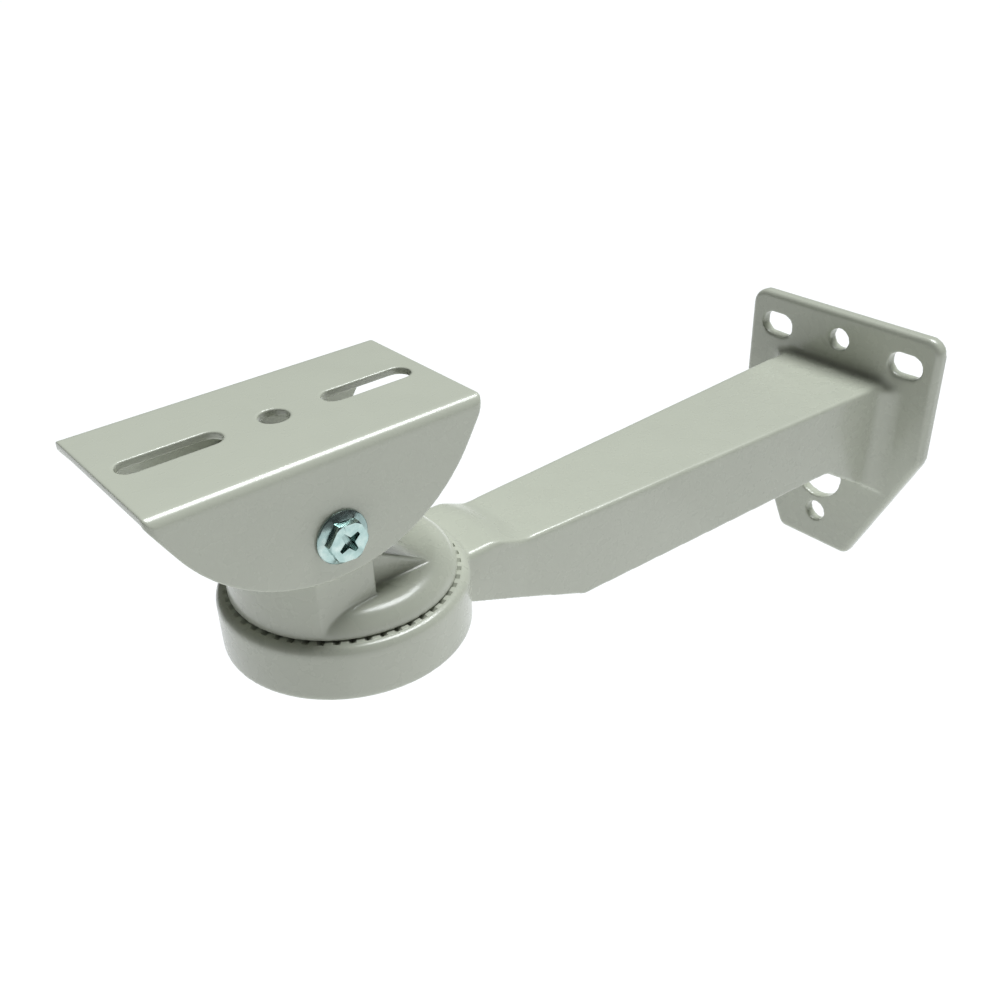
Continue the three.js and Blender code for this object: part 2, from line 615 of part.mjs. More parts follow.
const panning = new THREE.Group();
panning.add(mesh('swivel_base', swivelBase(), enamel));
panning.add(mesh('pan_bolt', panBolt(), zinc));
panning.add(mesh('pan_flat_washer', panDisc(PAN_WASHER_D, PAN_WASHER_LOW, PAN_WASHER_TOP), zinc));
const panSpring = panDisc(PAN_SPRING_D, PAN_SPRING_LOW, PAN_SPRING_TOP)
  .subtract(slitZ(PAN_SPRING_LOW, PAN_SPRING_TOP));
panning.add(mesh('pan_spring_washer', panSpring, steel));

const tilting = new THREE.Group();
tilting.add(mesh('saddle', saddle(), enamelSheet));
tilting.add(mesh('tilt_bolt', tiltBolt(), zinc));
tilting.add(mesh('tilt_flat_washer', tiltDisc(TILT_WASHER_D, WASHER_END, FAR_FACE), zinc));
const tiltSpring = tiltDisc(TILT_SPRING_D, SPRING_END, SPRING_START)
  .subtract(slitX(SPRING_END, SPRING_START));
tilting.add(mesh('tilt_spring_washer', tiltSpring, steel));
tilting.add(mesh('tilt_nut', tiltNut(), zinc));

const bracket = new THREE.Group();
bracket.add(fixed, panning, tilting);
export default bracket;
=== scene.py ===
"""Looks for a pan-and-tilt camera wall bracket.

Everything is in metres, in the packed model's own frame: +Z up, the wall plate's back face at y = 0,
and the arm reaching out along -Y. The two enamelled castings and the folded steel saddle are built from
closed solids, fused, and softened as thick enamel softens metal; the zinc-plated screws keep their crisp,
lightly broken edges.
"""

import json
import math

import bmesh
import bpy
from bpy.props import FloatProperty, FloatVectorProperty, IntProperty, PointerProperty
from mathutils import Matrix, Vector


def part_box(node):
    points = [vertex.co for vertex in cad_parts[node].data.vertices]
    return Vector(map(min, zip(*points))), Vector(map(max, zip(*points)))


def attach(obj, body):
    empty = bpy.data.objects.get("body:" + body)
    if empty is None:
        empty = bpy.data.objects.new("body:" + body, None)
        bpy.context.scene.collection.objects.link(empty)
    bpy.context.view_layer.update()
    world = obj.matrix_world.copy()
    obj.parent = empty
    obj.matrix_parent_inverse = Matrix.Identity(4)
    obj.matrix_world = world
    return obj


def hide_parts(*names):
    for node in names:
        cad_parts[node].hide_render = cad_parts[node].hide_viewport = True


bl_info = {
    "name": "Camera Wall Bracket",
    "version": (1, 0, 0),
    "blender": (4, 5, 0),
    "location": "View3D > Sidebar > Bracket",
    "description": "Builds the visual pieces of a pan-and-tilt camera wall bracket around its packed frame",
    "category": "Add Mesh",
}

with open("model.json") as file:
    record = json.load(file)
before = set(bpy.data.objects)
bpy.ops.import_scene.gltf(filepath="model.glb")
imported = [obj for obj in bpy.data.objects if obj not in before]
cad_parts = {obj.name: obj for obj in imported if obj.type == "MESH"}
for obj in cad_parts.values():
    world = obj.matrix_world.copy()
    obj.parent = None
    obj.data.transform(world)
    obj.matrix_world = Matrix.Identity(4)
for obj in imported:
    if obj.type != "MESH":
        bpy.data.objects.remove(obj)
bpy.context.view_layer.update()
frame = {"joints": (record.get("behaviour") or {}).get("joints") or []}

MM = 0.001
FULL_TURN = 2 * math.pi
JOINTS = {joint["name"]: Vector(joint["pos_m"]) for joint in frame["joints"]}
PAN_Y = JOINTS["pan"].y
TILT_Y = JOINTS["tilt"].y
TILT_Z = JOINTS["tilt"].z
ARM_LOW, ARM_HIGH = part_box("wall_arm")
BASE_LOW, BASE_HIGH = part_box("swivel_base")
SADDLE_LOW, SADDLE_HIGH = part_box("saddle")

FAR = 0.4  # longer than the whole bracket, for solids that cut right through
OVERLAP = 1 * MM  # how far solids run into each other before they are fused or cut
CONTACT = 0.2 * MM  # what a screw's head stands off the face that it bears on
SHANK_GAP = 0.3 * MM  # a bolt in its hole, all round
PLATE_HOLES = ((0, 42 * MM), (0, -38 * MM))  # middles of the round fixing holes
SLOT_LEVEL = 40 * MM  # height of the two fixing slots
CABLE_HOLE = (-1 * MM, -19.5 * MM)  # middle of the cable hole
SHOULDER_STEPS = 12  # facets down the neck's shoulder
BLEND_ROUNDS = 60  # passes of smoothing where two faces of a casting flow together
CHAMFER_CIRCLE = 1.05  # a hexagon's turned-down end face, against its width across the flats
CROSS_TURN = 32  # degrees that the cross recess is turned
CROSS_TAPER = 0.75  # width and length of the recess at its bottom, against its mouth
THREAD_DEPTH = 0.61  # depth of a thread, against its pitch
WASHER_RIM = 0.3 * MM  # rounding of a stamped washer's upper rim
WIRE_EDGE = 0.15 * MM  # rounding of a split washer's square wire

WORLD_LIGHT = 0.08  # even light from all round
OVERHEAD_LIGHT = 3.75  # broad light from above
OVERHEAD_WIDTH = 34  # degrees that the overhead light spans
OVERHEAD_FROM = (-0.04, 0.36, 1)
OVERHEAD_TINT = (0.975, 1, 1.02)
SIDE_LIGHT = 0.24  # weak light from the open side
SIDE_FROM = (1.2, -0.55, 0.1)
TABLE_LIGHT = 0.12  # light thrown back up beside the ring
TABLE_FROM = (0.24, -0.17, -0.06)
TABLE_TOWARDS = (0.2, -0.17, 0.3)


def length(name, description, millimetres):
    """A size of the bracket, given in millimetres and kept in metres."""
    return FloatProperty(name=name, description=description, default=millimetres * MM, min=0,
                         unit="LENGTH", precision=5)


def angle(name, description, degrees):
    """An angle, given in degrees."""
    return FloatProperty(name=name, description=description, default=math.radians(degrees),
                         subtype="ANGLE")


def colour(name, description, default):
    """A finish's colour, linear."""
    return FloatVectorProperty(name=name, description=description, default=default, size=3,
                               min=0, max=1, subtype="COLOR")


def group(kind, name):
    """The sizes or finishes of one part of the bracket."""
    return PointerProperty(type=kind, name=name, description=kind.__doc__)


# ---- what a user would change
class PlateSizes(bpy.types.PropertyGroup):
    """The wall plate and its holes."""
    thickness: length("Thickness", "Wall plate thickness", 5)
    foot_width: length("Foot width", "Straight lower edge between the cut corners", 34)
    cut_height: length("Cut height", "Height at which the cut corners start", 2)
    corner_radius: length("Corner radius", "Upper corners", 6.5)
    cut_radius: length("Cut radius", "Blunt corners at the sides", 9)
    foot_radius: length("Foot radius", "Lower corners", 4)
    edge_radius: length("Edge radius", "Rounding of the front edge", 2.2)
    hole: length("Fixing hole", "Diameter of the round fixing holes", 9)
    slot_pitch: length("Slot pitch", "Between the two fixing slots", 60)
    slot_length: length("Slot length", "Fixing slot, end to end", 14.8)
    slot_width: length("Slot width", "Fixing slot, across", 9.5)
    cable_hole: length("Cable hole", "Diameter of the cable hole", 22)


class ArmSizes(bpy.types.PropertyGroup):
    """The hollow arm, its neck and its ring."""
    ring_radius: length("Ring radius", "Outside of the toothed ring", (PAN_Y - ARM_LOW.y) / MM)
    ring_bottom: length("Ring bottom", "Height of the ring's underside", 22)
    ring_height: length("Ring height", "Ring, bottom to teeth", 17)
    ring_edge: length("Ring edge", "Rounding of the ring's upper edge", 2.6)
    sink_radius: length("Recess radius", "Hollow under the ring", 28)
    sink_height: length("Recess height", "Hollow under the ring", 10)
    dish_radius: length("Dish radius", "Shallow dish inside the teeth", 26)
    dish_depth: length("Dish depth", "Shallow dish inside the teeth", 1.5)
    head_half: length("Head half width", "Half width of the arm beside the ring", 15.5)
    wall_half: length("Wall half width", "Half width of the arm at the plate", 23.7)
    head_top: length("Head top", "Height of the arm's top behind the neck", 32.8)
    wall_top: length("Wall top", "Height of the arm's top at the plate", 30.7)
    under: length("Under edge", "Height of the lower edge of the side walls", 1.2)
    wall: length("Wall", "Thickness of the arm's walls", 3.6)
    edge: length("Edge", "Rounding of the long top edges", 1.5)
    slope_end: length("Slope end", "Pan axis to the end of the sloping underside", 80)
    gusset: length("Gusset", "Length of the side walls' downward flare at the plate", 30)
    gusset_drop: length("Gusset drop", "How far the side walls flare down", 17.6)
    fillet: length("Fillet", "Side walls into the plate", 8)
    neck_top: length("Neck top", "Height of the neck beside the ring", 37)
    neck_flat: length("Neck flat", "Pan axis to the start of the shoulder", 44)
    neck_step: length("Neck step", "Pan axis to where the arm starts to widen", 55.5)
    neck_foot: length("Neck foot", "Pan axis to the foot of the shoulder", 60)
    neck_edge: length("Neck edge", "Rounding of the neck's upper edges", 2.2)


class ToothSizes(bpy.types.PropertyGroup):
    """Serrations of the pan joint, cut alike in both faces."""
    count: IntProperty(name="Teeth", description="Serrations round the pan joint", default=50, min=12)
    width: length("Width", "Width of one V groove", 2.1)
    depth: length("Depth", "Depth of one V groove", 1.1)
    inner: length("Inner radius", "Where the grooves start", 26.6)
    outer: length("Outer radius", "Where the ring's grooves end", 33.5)
    base_outer: length("Base outer radius", "Where the swivel base's grooves end", 31.7)


class BaseSizes(bpy.types.PropertyGroup):
    """The swivel base."""
    radius: length("Radius", "Outside of the base", 32.5)
    lip_height: length("Lip height", "Height of the rounded lip", 6.5)
    lip_width: length("Lip width", "Width of the rounded lip", 7)
    lug_half: length("Lug half width", "Half width over the clamping faces", 24.2)
    lug_back: length("Lug back", "Tilt axis to the wall side of the lug", 10.3)
    lug_round: length("Lug round", "Radius of the lug's top", 10)
    drum_height: length("Drum height", "Height of the drum wall", 25)
    web_half: length("Web half width", "Half width of the web behind the lug", 20.5)
    web_rise: length("Web rise", "Height of the web at the lug", 18.2)
    web_reach: length("Web reach", "Pan axis to the foot of the web", 17)
    wall: length("Wall", "Thickness of the casting's walls", 4.2)
    boss: length("Boss radius", "Threaded boss for the pan bolt", 10)
    boss_bore: length("Boss bore", "Depth of the pan bolt's bore", 13)


class SaddleSizes(bpy.types.PropertyGroup):
    """The folded steel saddle."""
    sheet: length("Sheet", "Sheet thickness", 2.3)
    bend: length("Bend", "Outside bend radius", 3.2)
    corner: length("Corner", "Corners of the sheet, seen from above", 2.2)
    cheek_radius: length("Cheek radius", "Rounded lower edge of the cheeks", 47.6)
    cheek_low: length("Cheek depth", "Cheek below the tilt axis", 11.8)
    slot_in: length("Slot start", "Seat centre to the near end of a camera slot", 14.4)
    slot_out: length("Slot end", "Seat centre to the far end of a camera slot", 41.8)
    slot_width: length("Slot width", "Camera slot, across", 7.2)
    hole: length("Hole", "Diameter of the middle hole", 8.2)


class ScrewSizes(bpy.types.PropertyGroup):
    """The tilt and pan bolts with their washers and the nut."""
    tilt_thread: length("Tilt thread", "Diameter of the tilt bolt", 6)
    tilt_hexagon: length("Tilt hexagon", "Across the flats of the tilt bolt's head", 10)
    tilt_turn: angle("Tilt bolt turn", "How far the tilt bolt is turned", 25)
    cross: length("Cross", "Cross recess, tip to tip", 6.8)
    cross_width: length("Cross width", "Width of a wing of the recess at its tip", 1.1)
    cross_waist: length("Cross waist", "Width of a wing of the recess at its middle", 2.6)
    cross_depth: length("Cross depth", "Depth of the recess", 2.2)
    pan_thread: length("Pan thread", "Diameter of the pan bolt", 8)
    pan_hexagon: length("Pan hexagon", "Across the flats of the pan bolt's head", 13)
    slit: length("Slit", "Gap in a split washer", 1.0)


class Finishes(bpy.types.PropertyGroup):
    """Colours and gloss."""
    enamel: colour("Enamel", "Warm grey baked enamel", (0.482, 0.506, 0.422))
    enamel_gloss: FloatProperty(name="Enamel roughness", description="Roughness of the enamel",
                                default=0.27, min=0, max=1, subtype="FACTOR")
    zinc: colour("Zinc", "Blue-passivated zinc plating", (0.34, 0.46, 0.44))
    spring: colour("Spring steel", "Duller plating of the split washers", (0.38, 0.41, 0.41))
    floor: colour("Floor", "Plain pale floor", (0.9, 0.9, 0.9))


class Studio(bpy.types.PropertyGroup):
    """Camera and light."""
    azimuth: angle("Azimuth", "Camera's heading round the bracket, from the front towards +X", 50.96)
    elevation: angle("Elevation", "Camera's height above the horizon", 30.83)
    roll: angle("Roll", "Camera's turn about its own line of sight", -1.88)
    distance: length("Distance", "Camera to the point it looks at", 333.8)
    lens: FloatProperty(name="Lens", description="Focal length on a 36 mm sensor", default=39.05,
                        unit="CAMERA")
    target: FloatVectorProperty(name="Target", description="Point at the middle of the view",
                                default=(3.85 * MM, -185.05 * MM, 42 * MM), size=3,
                                subtype="TRANSLATION", unit="LENGTH", precision=5)
    floor_drop: length("Floor drop", "Floor below the bracket's lowest point", 550)


class BracketSettings(bpy.types.PropertyGroup):
    """Everything that a user would change, by part."""
    plate: group(PlateSizes, "Wall plate")
    arm: group(ArmSizes, "Arm")
    teeth: group(ToothSizes, "Teeth")
    base: group(BaseSizes, "Swivel base")
    saddle: group(SaddleSizes, "Saddle")
    screws: group(ScrewSizes, "Screws")
    finish: group(Finishes, "Finishes")
    studio: group(Studio, "Studio")


# ---- outlines
def arc(a, b, radius_a, radius_b, start, end, steps):
    """Points of an arc about (a, b), from start to end degrees."""
    turns = [math.radians(start + (end - start) * i / steps) for i in range(steps + 1)]
    return [(a + radius_a * math.cos(t), b + radius_b * math.sin(t)) for t in turns]


def circle(a, b, radius, steps=48):
    """Closed circle about (a, b)."""
    return arc(a, b, radius, radius, 0, 360, steps)[:-1]


def rounded(corners, steps=8):
    """Closed outline through corners (a, b, radius), each rounded by an arc where it has a radius."""
    points = []
    for i, (a, b, radius) in enumerate(corners):
        if radius == 0:
            points.append((a, b))
            continue
        corner = Vector((a, b))
        back = (Vector(corners[i - 1][:2]) - corner).normalized()
        ahead = (Vector(corners[(i + 1) % len(corners)][:2]) - corner).normalized()
        half = back.angle(ahead) / 2
        centre = corner + (back + ahead).normalized() * radius / math.sin(half)
        start = corner + back * radius / math.tan(half) - centre
        end = corner + ahead * radius / math.tan(half) - centre
        first = math.degrees(math.atan2(start.y, start.x))
        last = math.degrees(math.atan2(end.y, end.x))
        sweep = (last - first + 180) % 360 - 180
        points += arc(centre.x, centre.y, radius, radius, first, first + sweep, steps)
    return points


def stadium(a, b, length_a, width, steps=16):
    """Round-ended slot, long along the first axis."""
    reach = (length_a - width) / 2
    return (arc(a + reach, b, width / 2, width / 2, -90, 90, steps)
            + arc(a - reach, b, width / 2, width / 2, 90, 270, steps))


def hexagon(a, b, across_flats, turn=0.0):
    """Hexagon about (a, b), with two flats facing along the first axis before any turn."""
    radius = across_flats / math.sqrt(3)
    spokes = [turn + math.radians(30 + 60 * i) for i in range(6)]
    return [(a + radius * math.cos(t), b + radius * math.sin(t)) for t in spokes]


def wing(a, b, length_a, tip, waist, turn):
    """One wing of a cross recess, right across (a, b): wide at its waist, narrower at its tips."""
    along = Vector((math.cos(turn), math.sin(turn)))
    across = Vector((-math.sin(turn), math.cos(turn)))
    places = [(-length_a / 2, -tip / 2), (0, -waist / 2), (length_a / 2, -tip / 2),
              (length_a / 2, tip / 2), (0, waist / 2), (-length_a / 2, tip / 2)]
    return [tuple(Vector((a, b)) + u * along + v * across) for u, v in places]


# ---- solids
AXES = {
    "X": lambda a, b, along: Vector((along, a, b)),
    "Y": lambda a, b, along: Vector((a, along, b)),
    "Z": lambda a, b, along: Vector((a, b, along)),
}


def placed(name, data):
    """New object in the scene."""
    obj = bpy.data.objects.new(name, data)
    bpy.context.scene.collection.objects.link(obj)
    return obj


def to_object(bm, name="solid"):
    """Links a bmesh as an object at the origin, its faces pointing outwards."""
    bmesh.ops.recalc_face_normals(bm, faces=bm.faces)
    mesh = bpy.data.meshes.new(name)
    bm.to_mesh(mesh)
    bm.free()
    return placed(name, mesh)


def prism(outline, axis, low, high):
    """Solid with one outline all along an axis, from low to high."""
    place = AXES[axis]
    bm = bmesh.new()
    face = bm.faces.new([bm.verts.new(place(a, b, low)) for a, b in outline])
    made = bmesh.ops.extrude_face_region(bm, geom=[face])["geom"]
    moved = [item for item in made if isinstance(item, bmesh.types.BMVert)]
    bmesh.ops.translate(bm, verts=moved, vec=place(0, 0, high - low))
    return to_object(bm)


def turned(profile, axis="Z", a=0.0, b=PAN_Y, steps=160):
    """Solid of revolution about an axis through (a, b). Its profile, (radius, along), ends on the axis."""
    place = AXES[axis]
    bm = bmesh.new()
    line = [bm.verts.new(place(a + radius, b, along)) for radius, along in profile]
    edges = [bm.edges.new(pair) for pair in zip(line, line[1:])]
    bmesh.ops.spin(bm, geom=line + edges, cent=place(a, b, 0), axis=place(0, 0, 1),
                   angle=FULL_TURN, steps=steps, use_merge=True, use_duplicate=False)
    bmesh.ops.remove_doubles(bm, verts=bm.verts, dist=1e-6)
    return to_object(bm)


def rod(radius, low, high, axis="Z", a=0.0, b=PAN_Y, steps=160):
    """Plain round bar about an axis through (a, b), from low to high."""
    return turned([(0, low), (radius, low), (radius, high), (0, high)], axis, a, b, steps)


def coil(section, axis, a, b, pitch, turns, steps):
    """Solid that a closed section, (radius, along), sweeps as it turns and climbs about an axis."""
    place = AXES[axis]
    bm = bmesh.new()
    face = bm.faces.new([bm.verts.new(place(a + radius, b, along)) for radius, along in section])
    bmesh.ops.spin(bm, geom=[face], cent=place(a, b, 0), axis=place(0, 0, 1),
                   dvec=place(0, 0, pitch * turns / steps), angle=FULL_TURN * turns, steps=steps,
                   use_merge=False, use_duplicate=False)
    return to_object(bm)


def bake(obj):
    """Applies every modifier to the object's mesh."""
    graph = bpy.context.evaluated_depsgraph_get()
    graph.update()
    old = obj.data
    obj.data = bpy.data.meshes.new_from_object(obj.evaluated_get(graph))
    obj.modifiers.clear()
    bpy.data.meshes.remove(old)
    return obj


def combine(body, how, *tools):
    """Joins, cuts or crosses a solid with others, which are used up: UNION, DIFFERENCE or INTERSECT."""
    for tool in tools:
        step = body.modifiers.new("Boolean", "BOOLEAN")
        step.operation = how
        step.solver = "EXACT"
        step.object = tool
        bake(body)
        bpy.data.objects.remove(tool)
    return body


def gathered(solids):
    """One object that holds the shells of several solids, which are used up."""
    bm = bmesh.new()
    for item in solids:
        bm.from_mesh(item.data)
        bpy.data.objects.remove(item)
    mesh = bpy.data.meshes.new("gathered")
    bm.to_mesh(mesh)
    bm.free()
    return placed("gathered", mesh)


def cast(solids, voxel, rounds, most_triangles, blended=None):
    """Fuses solids into one casting, with the small fillets and rounded edges that a mould gives.

    blended gives, for a point, how far from 0 to 1 the surface flows together there.
    """
    body = gathered(solids)
    fused = body.modifiers.new("Fuse", "REMESH")
    fused.mode = "VOXEL"
    fused.voxel_size = voxel * 1
    fused.use_smooth_shade = True
    soften = body.modifiers.new("Soften", "SMOOTH")
    soften.factor = 0.5
    soften.iterations = rounds
    bake(body)
    if blended:
        flow = body.vertex_groups.new(name="flow")
        for vert in body.data.vertices:
            weight = blended(vert.co)
            if weight > 0:
                flow.add([vert.index], weight, "REPLACE")
        melt = body.modifiers.new("Flow", "SMOOTH")
        melt.factor = 0.5
        melt.iterations = BLEND_ROUNDS // 1
        melt.vertex_group = flow.name
        bake(body)
        body.vertex_groups.clear()
    triangles = sum(len(face.vertices) - 2 for face in body.data.polygons)
    if triangles > most_triangles:
        thin = body.modifiers.new("Thin", "DECIMATE")
        thin.ratio = most_triangles / triangles
        bake(body)
    return body


def finish_piece(obj, name, body, slot, material, replaced, crease):
    """Names a piece, gives it its finish and hands it to the frame in place of its CAD node.

    Edges sharper than crease, in degrees, stay sharp, and large flat faces keep their own direction.
    """
    obj.name = name
    obj.data.name = name
    obj.data.materials.clear()
    obj.data.materials.append(material)
    obj.data.shade_smooth()
    obj.data.set_sharp_from_angle(angle=math.radians(crease))
    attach(obj, body)
    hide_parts(replaced)
    shading = obj.modifiers.new("Even shading", "WEIGHTED_NORMAL")
    shading.keep_sharp = True
    return bake(obj)


def break_edges(obj, width, segments=3, limit=30):
    """Rounds every edge sharper than the limit, in degrees, as tumbling or paint does."""
    step = obj.modifiers.new("Broken edges", "BEVEL")
    step.limit_method = "ANGLE"
    step.angle_limit = math.radians(limit)
    step.width = width
    step.segments = segments
    return bake(obj)


def round_edges(obj, radius, chosen, segments=6):
    """Rounds the edges whose middle point and direction pass a test."""
    bm = bmesh.new()
    bm.from_mesh(obj.data)
    edges = []
    for edge in bm.edges:
        start, end = (vert.co for vert in edge.verts)
        if chosen((start + end) / 2, (end - start).normalized()):
            edges.append(edge)
    bmesh.ops.bevel(bm, geom=edges, offset=radius, offset_type="OFFSET", segments=segments,
                    profile=0.5, affect="EDGES", material=-1, clamp_overlap=True)
    bmesh.ops.recalc_face_normals(bm, faces=bm.faces)
    bm.to_mesh(obj.data)
    bm.free()
    return obj


def serrations(teeth, level, direction, outer):
    """Ring of V grooves in a horizontal face; direction 1 cuts down from the level, -1 cuts up."""
    half = teeth.width / 2
    lift = 0.2 * MM
    flare = half * (teeth.depth + lift) / teeth.depth
    section = [(-flare, level + direction * lift), (flare, level + direction * lift),
               (0, level - direction * teeth.depth)]
    grooves = []
    for i in range(teeth.count):
        groove = prism(section, "Y", teeth.inner, outer)
        turn = Matrix.Rotation(FULL_TURN * i / teeth.count + math.pi / 2, 4, "Z")
        groove.data.transform(Matrix.Translation((0, PAN_Y, 0)) @ turn)
        grooves.append(groove)
    return gathered(grooves)


# ---- wall arm
def along_arm(s, distance):
    """Place along the arm: 0 where it starts to widen, 1 at the plate."""
    return (distance - s.arm.neck_step) / (-PAN_Y - s.plate.thickness - s.arm.neck_step)


def arm_top_at(s, distance):
    """Height of the arm's top at a distance from the pan axis."""
    return s.arm.head_top + (s.arm.wall_top - s.arm.head_top) * along_arm(s, distance)


def arm_half_at(s, distance):
    """Half width of the arm at a distance from the pan axis."""
    return s.arm.head_half + (s.arm.wall_half - s.arm.head_half) * max(0, along_arm(s, distance))


def arm_plan(s, inset, start, end):
    """Plan of the arm: parallel along the neck, then widening to the plate."""
    head = s.arm.head_half - inset
    wall = arm_half_at(s, end) - inset
    knee = PAN_Y + s.arm.neck_step
    return [(-head, PAN_Y + start), (head, PAN_Y + start), (head, knee), (wall, PAN_Y + end),
            (-wall, PAN_Y + end), (-head, knee)]


def arm_outside(s):
    """Tapered arm with rounded top edges, from under the neck to the plate."""
    arm = s.arm
    root = PAN_Y + arm.ring_radius - 6 * MM
    face = -s.plate.thickness
    buried = face + OVERLAP
    foot = arm.under - arm.gusset_drop
    side = rounded([
        (root, arm.ring_bottom - 0.6 * MM, 0), (PAN_Y + arm.slope_end, arm.under, 6 * MM),
        (face - arm.gusset, arm.under, 8 * MM), (face, foot, 0), (buried, foot, 0),
        (buried, arm_top_at(s, -PAN_Y), 0), (root, arm_top_at(s, root - PAN_Y), 0)])
    body = prism(side, "X", -FAR, FAR)
    plan = arm_plan(s, 0, root - PAN_Y, buried - PAN_Y)
    combine(body, "INTERSECT", prism(plan, "Z", -FAR, FAR))
    return round_edges(body, arm.edge, lambda middle, way: (
        abs(way.y) > 0.9 and middle.z > arm.ring_bottom + 3 * MM and abs(middle.x) > arm.head_half / 2))


def arm_neck(s):
    """Raised neck beside the ring, ending in a rounded shoulder about the pan axis."""
    arm = s.arm
    low = arm.ring_bottom + 4 * MM
    foot = arm_top_at(s, arm.neck_foot) - 0.1 * MM
    profile = [(0, low), (arm.neck_flat, low), (arm.neck_foot, foot - 2 * MM)]
    for i in range(SHOULDER_STEPS + 1):
        share = i / SHOULDER_STEPS
        rise = share * share * (3 - 2 * share)
        profile.append((arm.neck_foot + (arm.neck_flat - arm.neck_foot) * share,
                        foot + (arm.neck_top - foot) * rise))
    profile.append((0, arm.neck_top))
    body = prism(arm_plan(s, 0, 0, arm.neck_foot + 1 * MM), "Z", 0, arm.neck_top)
    round_edges(body, arm.neck_edge, lambda middle, way: (
        abs(way.y) > 0.9 and middle.z > arm.neck_top - 1 * MM and abs(middle.x) > arm.head_half / 2))
    return combine(body, "INTERSECT", turned(profile))


def arm_ring(s):
    """The ring that carries the swivel base, with its rounded upper edge."""
    arm = s.arm
    r = arm.ring_radius
    e = arm.ring_edge
    top = arm.ring_bottom + arm.ring_height
    foot = 1 * MM
    return turned([(0, arm.ring_bottom), *arc(r - foot, arm.ring_bottom + foot, foot, foot, -90, 0, 4),
                   *arc(r - e, top - e, e, e, 0, 90, 10), (0, top)])


def arm_cuts(s):
    """Cable channel under the arm, the ring's recess and dish, and the pan bolt's hole."""
    arm = s.arm
    start = arm.ring_radius + 6 * MM
    web = arm.ring_bottom + arm.sink_height
    top = arm.ring_bottom + arm.ring_height
    face = -s.plate.thickness
    side = [(PAN_Y + start, -FAR), (face, -FAR), (face, arm_top_at(s, -PAN_Y) - arm.wall),
            (PAN_Y + start, arm_top_at(s, start) - arm.wall)]
    channel = prism(side, "X", -FAR, FAR)
    combine(channel, "INTERSECT", prism(arm_plan(s, arm.wall, start, face - PAN_Y), "Z", -FAR, FAR))
    sink = turned([(0, 0), (arm.sink_radius + 0.8 * MM, 0), (arm.sink_radius, web), (0, web)])
    dish = rod(arm.dish_radius, top - arm.dish_depth, top + 5 * MM)
    bore = rod(s.screws.pan_thread / 2 + SHANK_GAP, 0, top + 5 * MM, steps=48)
    return [channel, sink, dish, bore]


def wall_plate(s):
    """The wall plate with its blunt lower corners, rounded front edge and holes."""
    plate = s.plate
    half = ARM_HIGH.x
    edge = rounded([
        (-plate.foot_width / 2, ARM_LOW.z, plate.foot_radius),
        (plate.foot_width / 2, ARM_LOW.z, plate.foot_radius),
        (half, plate.cut_height, plate.cut_radius), (half, -ARM_LOW.z, plate.corner_radius),
        (-half, -ARM_LOW.z, plate.corner_radius), (-half, plate.cut_height, plate.cut_radius)], 10)
    body = prism(edge, "Y", -plate.thickness, 0)
    round_edges(body, plate.edge_radius, lambda middle, way: (
        middle.y < 0.1 * MM - plate.thickness), segments=5)
    holes = [circle(*middle, plate.hole / 2) for middle in PLATE_HOLES]
    holes.append(circle(*CABLE_HOLE, plate.cable_hole / 2, 72))
    for side in (-1, 1):
        holes.append(stadium(side * plate.slot_pitch / 2, SLOT_LEVEL, plate.slot_length, plate.slot_width))
    for hole in holes:
        combine(body, "DIFFERENCE", prism(hole, "Y", -3 * plate.thickness, plate.thickness))
    return body


def plate_fillets(s):
    """Concave fillets where the arm's side walls and top run into the plate."""
    arm = s.arm
    r = arm.fillet
    face = -s.plate.thickness
    buried = face + OVERLAP
    foot = arm.under - arm.gusset_drop
    made = []
    for side in (-1, 1):
        centre = side * (arm_half_at(s, face - r - PAN_Y) + r)
        first, last = (90, 180) if side > 0 else (90, 0)
        rooted = side * (arm.wall_half - OVERLAP)
        section = [(rooted, buried), (centre, buried), *arc(centre, face - r, r, r, first, last, 10),
                   (rooted, face - r)]
        fillet = prism(section, "Z", foot, arm.wall_top - arm.edge * 0.7)
        keep = [(face - arm.gusset, arm.under), (face, foot), (buried, foot),
                (buried, arm.wall_top), (face - arm.gusset, arm.wall_top)]
        made.append(combine(fillet, "INTERSECT", prism(keep, "X", -FAR, FAR)))
    small = 2.5 * MM
    level = arm_top_at(s, -PAN_Y + face)
    over = [(buried, level - 1 * MM), (buried, level + small),
            *arc(face - small, level + small, small, small, 0, -90, 6), (face - small, level - 1 * MM)]
    made.append(prism(over, "X", -arm.wall_half + arm.edge, arm.wall_half - arm.edge))
    return made


